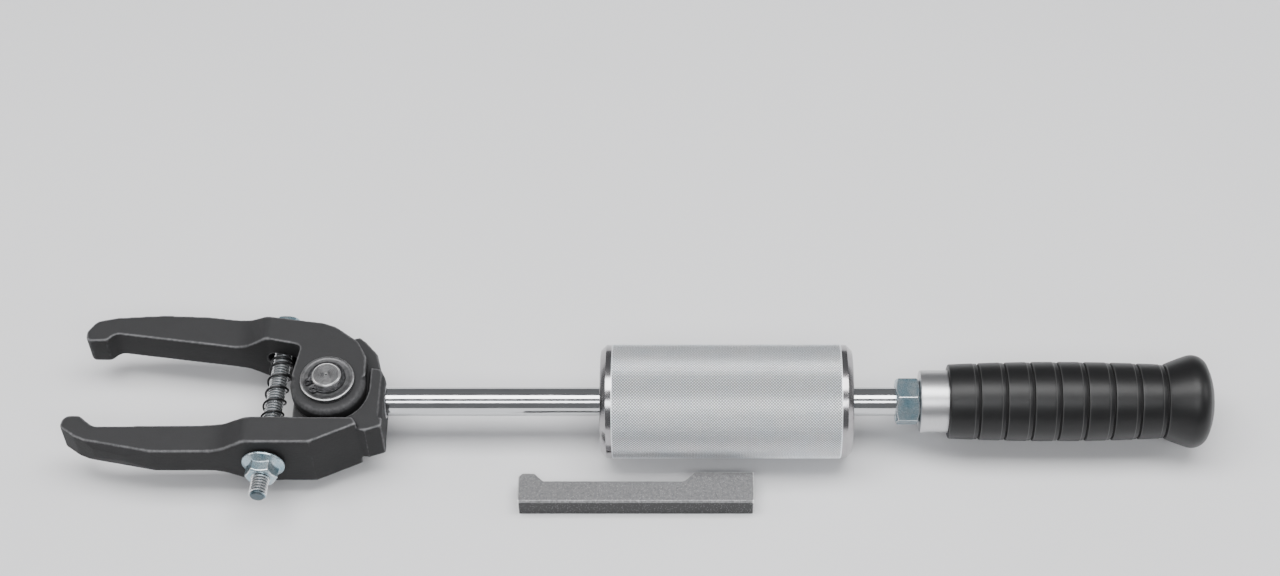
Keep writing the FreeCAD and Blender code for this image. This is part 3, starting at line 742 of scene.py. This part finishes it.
def clampBolt():
    # a fully threaded hexagon bolt
    bolt = {"crest": 4.95, "root": 3.8, "end": 3.6, "pitch": 1.75, "sides": 48, "headCut": 0.25,
            "intoHead": 1.5, "sharp": 24, "endDull": 0.7}
    start, end = reachAlong("clamp_bolt")
    washerEnd = reachAlong("bolt_head_washer")[1]
    line = along(boltPoint, boltWay)
    shank = threadMesh("shank", start, washerEnd + bolt["intoHead"], line, bolt)
    head = solidMesh("boltHead", "clamp_bolt", bolt["headCut"])
    work = bmesh.new()
    work.from_mesh(head)

    def onShaft(point, slack, wide=0.0):
        # whether a point lies below the head, or within wide millimetres of the axis
        place = line.inverted() @ point
        return place.x / mm < washerEnd + slack or place.yz.length / mm < wide

    # the plain shaft goes, the head stays and is closed, and the threaded shank joins it
    shaft = [face for face in work.faces if onShaft(face.calc_center_median(), 0.5)
             and all(onShaft(vertex.co, -0.3, bolt["crest"] + 0.2) for vertex in face.verts)]
    bmesh.ops.delete(work, geom=shaft, context="FACES")
    bmesh.ops.holes_fill(work, edges=[edge for edge in work.edges if edge.is_boundary])
    work.from_mesh(shank)
    bmesh.ops.recalc_face_normals(work, faces=work.faces)
    work.to_mesh(head)
    work.free()
    head.shade_smooth()
    head.set_sharp_from_angle(angle=math.radians(bolt["sharp"]))
    paintThread(head, line, bolt)
    print(f"bolt from {start:.1f} to {end:.1f}")
    addPiece("clampBolt", head, "zinc", "bolt", "clamp_bolt")


def jawSpring():
    # an open coil with a closed turn at each end
    spring = {"wire": 0.62, "sides": 12, "steps": 40, "closedTurns": 0.9, "openTurns": 5.6,
              "keep": 0.85, "lift": 0.08, "firstAngle": 0.6, "sharp": 40}
    low, high = reachAlong("jaw_spring")
    line = along(boltPoint, boltWay)
    radii = np.array([(line.inverted() @ vertex.co).yz.length
                      for vertex in frame["nodes"]["jaw_spring"].data.vertices]) / mm
    radius = (radii.min() + radii.max()) / 2
    closed = spring["closedTurns"]
    turns = closed * 2 + spring["openTurns"]
    wireWide = spring["wire"] * 2 + spring["lift"]
    pitch = (high - low - wireWide * (1 + closed * 2)) / spring["openTurns"]
    centres = []
    for step in range(int(turns * spring["steps"]) + 1):
        turn = step / spring["steps"]
        lowTurns = min(turn, closed)
        openTurns = min(max(turn - closed, 0), spring["openTurns"])
        highTurns = max(turn - closed - spring["openTurns"], 0)
        reach = low + spring["wire"] + (lowTurns + highTurns) * wireWide + openTurns * pitch
        angle = turn * 2 * math.pi + spring["firstAngle"]
        centres.append(Vector((reach, radius * math.cos(angle), radius * math.sin(angle))))
    points = []
    for index, centre in enumerate(centres):
        ahead = centres[min(index + 1, len(centres) - 1)] - centres[max(index - 1, 0)]
        outward = Vector((0, centre.y, centre.z)).normalized()
        across = ahead.cross(outward).normalized()
        outward = across.cross(ahead).normalized()
        for side in range(spring["sides"]):
            angle = 2 * math.pi * side / spring["sides"]
            offset = outward * math.cos(angle) + across * math.sin(angle)
            points.append((centre + offset * spring["wire"]) * mm)
    sides = spring["sides"]
    faces = [list(range(sides)), list(range(len(points) - sides, len(points)))]
    for index in range(len(centres) - 1):
        for side in range(sides):
            near = index * sides
            following = (side + 1) % sides
            faces.append((near + side, near + following, near + sides + following,
                          near + sides + side))
    mesh = closedMesh("jawSpring", points, faces, line, spring["sharp"])
    piece = addPiece("jawSpring", mesh, "spring_wire", "bolt", "jaw_spring")
    tuple(boltPoint + boltWay * high * mm)
    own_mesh(piece)


clampBolt()
nutWear = {"cut": 0.3, "skin": 0.26, "softening": 1, "edgeScale": 6.0, "edgeBlur": 1}
addPiece("headWasher", wornMesh("headWasher", "bolt_head_washer", nutWear), "zinc", "bolt",
         "bolt_head_washer")
addPiece("clampNut", wornMesh("clampNut", "clamp_nut", nutWear), "zinc", "nut", "clamp_nut")
jawSpring()


# slide hammer

def slideRod():
    rod = {"chamfer": 1.2, "sides": 128, "stretch": 12.0}
    start, end, radius = span("slide_rod")
    bands = int((end - start) / rod["stretch"])
    line = [(start, 0), (start, radius - rod["chamfer"]), (start + rod["chamfer"], radius)]
    line += [(start + (end - start) * band / bands, radius) for band in range(1, bands)]
    line += [(end - rod["chamfer"], radius), (end, radius - rod["chamfer"]), (end, 0)]
    mesh = turnedMesh("slideRod", line, rodLine, rod["sides"])
    addPiece("slideRod", mesh, "rod_chrome", "root", "slide_rod")


def slideWeight():
    # bevelled polished ends, and between them rows of diamonds raised on a lattice of grooves
    weight = {"diamond": 1.7, "depth": 0.3, "bevel": 3.3, "band": 2.9, "edge": 0.5, "play": 0.08,
              "faceRing": 5.5, "sharp": 30}
    start, end, radius = span("slide_weight")
    bore = span("slide_rod")[2] + weight["play"]
    valley = radius - weight["depth"]
    columns = 2 * round(math.pi * 2 * radius / weight["diamond"])
    step = weight["diamond"] / 2
    inset = weight["bevel"] + weight["band"]
    rowCount = 2 * int((end - start - 2 * inset) / weight["diamond"])
    firstRow = (start + end - rowCount * step) / 2

    def endRows(face, inward):
        # from the bore out to the smooth band, for the end that faces away from inward
        sharpEdge = radius - weight["bevel"]
        corners = [(0.9, bore), (0, bore + 0.9), (0, sharpEdge - weight["faceRing"]),
                   (0, sharpEdge - weight["edge"]), (0.12, sharpEdge - 0.1),
                   (weight["edge"], sharpEdge + 0.35),
                   (weight["bevel"] - weight["edge"], valley - 0.45),
                   (weight["bevel"] - 0.1, valley - 0.08), (weight["bevel"] + 0.4, valley)]
        return [(face + inward * reach, at) for reach, at in corners]

    rows = [(reach, at, False) for reach, at in endRows(start, 1)]
    rows += [(firstRow, valley, False)]
    rows += [(firstRow + step * row, valley, True) for row in range(1, rowCount)]
    rows += [(firstRow + step * rowCount, valley, False)]
    rows += [(reach, at, False) for reach, at in reversed(endRows(end, -1))]
    points = []
    valleys = []
    for index, (reach, at, knurled) in enumerate(rows):
        for column in range(columns):
            raised = knurled and (index + column) % 2
            angle = 2 * math.pi * column / columns
            outer = (at + weight["depth"] * raised) * mm
            points.append((reach * mm, outer * math.cos(angle), outer * math.sin(angle)))
            valleys.append(0.0 if raised or not knurled else 1.0)
    faces = []
    knurls = []
    for index in range(len(rows)):
        following = (index + 1) % len(rows)
        rough = rows[index][2] or rows[following][2]
        for column in range(columns):
            turn = (column + 1) % columns
            a, b = index * columns + column, index * columns + turn
            c, d = following * columns + turn, following * columns + column
            if not rough:
                faces.append((a, b, c, d))
            elif (index + column) % 2:
                faces += [(a, b, d), (b, c, d)]
            else:
                faces += [(a, b, c), (a, c, d)]
            knurls += [rough] * (2 if rough else 1)
    mesh = bpy.data.meshes.new("slideWeight")
    mesh.from_pydata(points, [], faces)
    mesh.transform(rodLine)
    mesh.flip_normals()
    mesh.shade_smooth()
    mesh.set_sharp_from_angle(angle=math.radians(weight["sharp"]))
    mesh.polygons.foreach_set("use_smooth", [not knurled for knurled in knurls])
    mesh.polygons.foreach_set("material_index", [int(knurled) for knurled in knurls])
    # the knurl's grooves, for the finish's painted shade
    paint(mesh, "valley", valleys)
    mesh.materials.append(finishes["weight_plate"])
    mesh.materials.append(knurlPlate())
    addPiece("slideWeight", mesh, "weight_plate", "hammer", "slide_weight")


slideRod()
slideWeight()
addPiece("stopNut", wornMesh("stopNut", "stop_nut", nutWear), "zinc", "root", "stop_nut")


# handle

def ferrule():
    collar = {"rim": 0.8, "backRim": 0.4, "bore": 8.3, "seat": 12.0, "wall": 4.0, "sides": 128}
    start, end, radius = span("handle_ferrule")
    line = softLine([
        (start, collar["bore"]), (start, radius, collar["rim"]), (end, radius, collar["backRim"]),
        (end, collar["seat"]), (start + collar["wall"], collar["seat"]),
        (start + collar["wall"], collar["bore"]),
    ])
    mesh = turnedMesh("ferrule", line, rodLine, collar["sides"])
    addPiece("ferrule", mesh, "collar_aluminium", "root", "handle_ferrule")


def arcLine(start, bulge, end, steps=24):
    # points on the circle through three points, the first left out
    (ax, ay), (bx, by), (cx, cy) = start, bulge, end
    d = 2 * (ax * (by - cy) + bx * (cy - ay) + cx * (ay - by))
    squares = [x * x + y * y for x, y in (start, bulge, end)]
    midX = (squares[0] * (by - cy) + squares[1] * (cy - ay) + squares[2] * (ay - by)) / d
    midY = (squares[0] * (cx - bx) + squares[1] * (ax - cx) + squares[2] * (bx - ax)) / d
    radius = math.hypot(ax - midX, ay - midY)
    first = math.atan2(ay - midY, ax - midX)
    last = math.atan2(cy - midY, cx - midX)
    sweep = (last - first + math.pi) % (2 * math.pi) - math.pi
    return [(midX + radius * math.cos(first + sweep * step / steps),
             midY + radius * math.sin(first + sweep * step / steps))
            for step in range(1, steps + 1)]


def gripSleeve():
    # rubber bands between grooves, each with a shallow step before its groove, and a domed knob
    grip = {"firstGroove": 16.6, "pitch": 14.86, "grooves": 8, "deep": 1.1, "bore": 12.0,
            "mouth": 20.0, "shoulder": 20.8, "belly": 22.2, "bellyAt": 60.0, "waist": 20.7,
            "sides": 160, "sharp": 50, "cavityStart": 33.5, "cavityEnd": 18.5, "cavityBore": 14.5}
    start, end, radius = span("grip_sleeve")
    # the knob's arcs, each as its middle and its last point: (back from the end, radius)
    knobArcs = [((21, 23.4), (15, radius - 0.06)), ((8.5, radius - 0.26), (4.5, 22.0)),
                ((1.4, 14.2), (0, 5.0))]
    # how far each groove's section lies below the band, from its step to the next band's start
    section = [(-3.0, 0.0), (-2.8, 0.05), (-2.6, 0.2), (-2.3, 0.25), (-0.8, 0.30),
               (-0.62, 0.42), (-0.5, 0.75), (-0.42, grip["deep"]), (0.42, grip["deep"]),
               (0.5, 0.6), (0.62, 0.25), (0.85, 0.08), (1.3, 0.0)]
    neck = start + grip["firstGroove"] + grip["pitch"] * (grip["grooves"] - 1)
    outer = [(start, grip["mouth"]), (start + 0.25, grip["mouth"] + 0.55),
             (start + 0.8, grip["shoulder"])]
    belly = (start + grip["bellyAt"], grip["belly"])
    outer += arcLine(outer[-1], belly, (neck, grip["waist"]), 60)
    knob = [(neck, grip["waist"])]
    for middle, last in knobArcs:
        knob += arcLine(knob[-1], (end - middle[0], middle[1]), (end - last[0], last[1]))
    reaches, radii = np.array(outer).T
    cuts = []
    for groove in range(grip["grooves"]):
        centre = start + grip["firstGroove"] + grip["pitch"] * groove
        cuts += [(centre + offset, drop) for offset, drop in section]
    cutReach, cutDrop = np.array(cuts).T
    knobReach, knobRadius = np.array(knob[1:]).T
    fullReach = np.concatenate([reaches, knobReach])
    fullRadius = np.concatenate([radii, knobRadius])
    clear = [reach for reach in fullReach if np.abs(reach - cutReach).min() > 0.05
             and np.interp(reach, cutReach, cutDrop, left=0, right=0) == 0]
    line = []
    drops = []
    for reach in sorted([*clear, *cutReach]):
        drop = float(np.interp(reach, cutReach, cutDrop, left=0, right=0))
        line.append((float(reach), float(np.interp(reach, fullReach, fullRadius)) - drop))
        drops.append(drop)
    low, high = end - grip["cavityStart"], end - grip["cavityEnd"]
    inside = [(end, 0), (high, 0), (high, grip["cavityBore"]), (low, grip["cavityBore"]),
              (low, grip["bore"]), (start, grip["bore"])]
    line += inside
    drops += [0] * len(inside)
    mesh = turnedMesh("gripSleeve", line, rodLine, grip["sides"], grip["sharp"])
    counts = [grip["sides"] if at > tipRadius else 1 for _, at in line]
    # the grooves for painted shade, and the lips before them for a painted highlight
    paint(mesh, "groove", np.repeat(np.clip(np.array(drops) - 0.5, 0, 0.6) / 0.6, counts))
    paint(mesh, "lip", np.repeat([float(0.02 < drop < 0.22) for drop in drops], counts))
    addPiece("gripSleeve", mesh, "grip_rubber", "root", "grip_sleeve")


ferrule()
gripSleeve()
for node in ("handle_core", "core_end_washer", "core_end_nut"):
    for slot in frame["nodes"][node].material_slots:
        slot.material = finishes["core_steel"]
print("handle done")


# loose stepped bar

def stepBar():
    bar = {"cut": 0.4, "edgeAngle": 20, "skin": 0.34, "softening": 2, "edgeScale": 6.5,
           "edgeBlur": 1}
    addPiece("stepBar", wornMesh("stepBar", "step_bar", bar), "bar_steel", "loose_bar", "step_bar")


stepBar()


# floor, light and camera

def areaLight(name, place, size, power, tint):
    # a soft rectangle of light that faces the middle of the floor
    lamp = bpy.data.lights.new(name, "AREA")
    lamp.shape = "RECTANGLE"
    lamp.size, lamp.size_y = size
    lamp.energy = power
    lamp.color = tint
    light = bpy.data.objects.new(name, lamp)
    bpy.context.scene.collection.objects.link(light)
    light.location = place
    light.rotation_euler = (-Vector(place)).to_track_quat("-Z", "Y").to_euler()


def studio():
    room = {"floorSize": 14.0, "sky": (0.62, 0.63, 0.65), "skyPower": 0.34}
    # each light's place and size in metres, power in watts and tint
    lights = {
        "overheadBox": ((0, 0.05, 1.75), (2.2, 0.8), 48, (1, 1, 1)),
        "frontStrip": ((0.05, -1.15, 1.5), (1.6, 0.42), 15, (0.97, 0.98, 1.0)),
        "leftBox": ((-1.7, -0.1, 0.9), (0.7, 0.9), 8, (1.0, 0.98, 0.96)),
        "rightBox": ((1.7, 0.1, 0.9), (0.7, 0.9), 7, (1, 1, 1)),
    }
    floorMesh = bpy.data.meshes.new("floor")
    half = room["floorSize"] / 2
    floorMesh.from_pydata([(-half, -half, 0), (half, -half, 0), (half, half, 0), (-half, half, 0)],
                          [], [(0, 1, 2, 3)])
    floorMesh.materials.append(paleFloor())
    floor = bpy.data.objects.new("floor", floorMesh)
    bpy.context.scene.collection.objects.link(floor)
    world = bpy.data.worlds.new("studio")
    world.use_nodes = True
    sky = world.node_tree.nodes["Background"]
    sky.inputs["Color"].default_value = (*room["sky"], 1)
    sky.inputs["Strength"].default_value = room["skyPower"]
    bpy.context.scene.world = world
    for name, (place, size, power, tint) in lights.items():
        areaLight(name, place, size, power, tint)


def camera():
    view = {"place": (0.03548, -0.77913, 1.19381), "down": 53.4, "lens": 70.31, "sensor": 36,
            "shift": -0.05, "farthest": 60}
    lens = bpy.data.cameras.new("camera")
    lens.lens = view["lens"]
    lens.sensor_width = view["sensor"]
    lens.shift_x = view["shift"]
    lens.clip_end = view["farthest"]
    eye = bpy.data.objects.new("camera", lens)
    bpy.context.scene.collection.objects.link(eye)
    eye.location = view["place"]
    eye.rotation_euler = (math.radians(90 - view["down"]), 0, 0)
    bpy.context.scene.camera = eye


studio()
camera()
print("stage set")

bpy.context.view_layer.update()
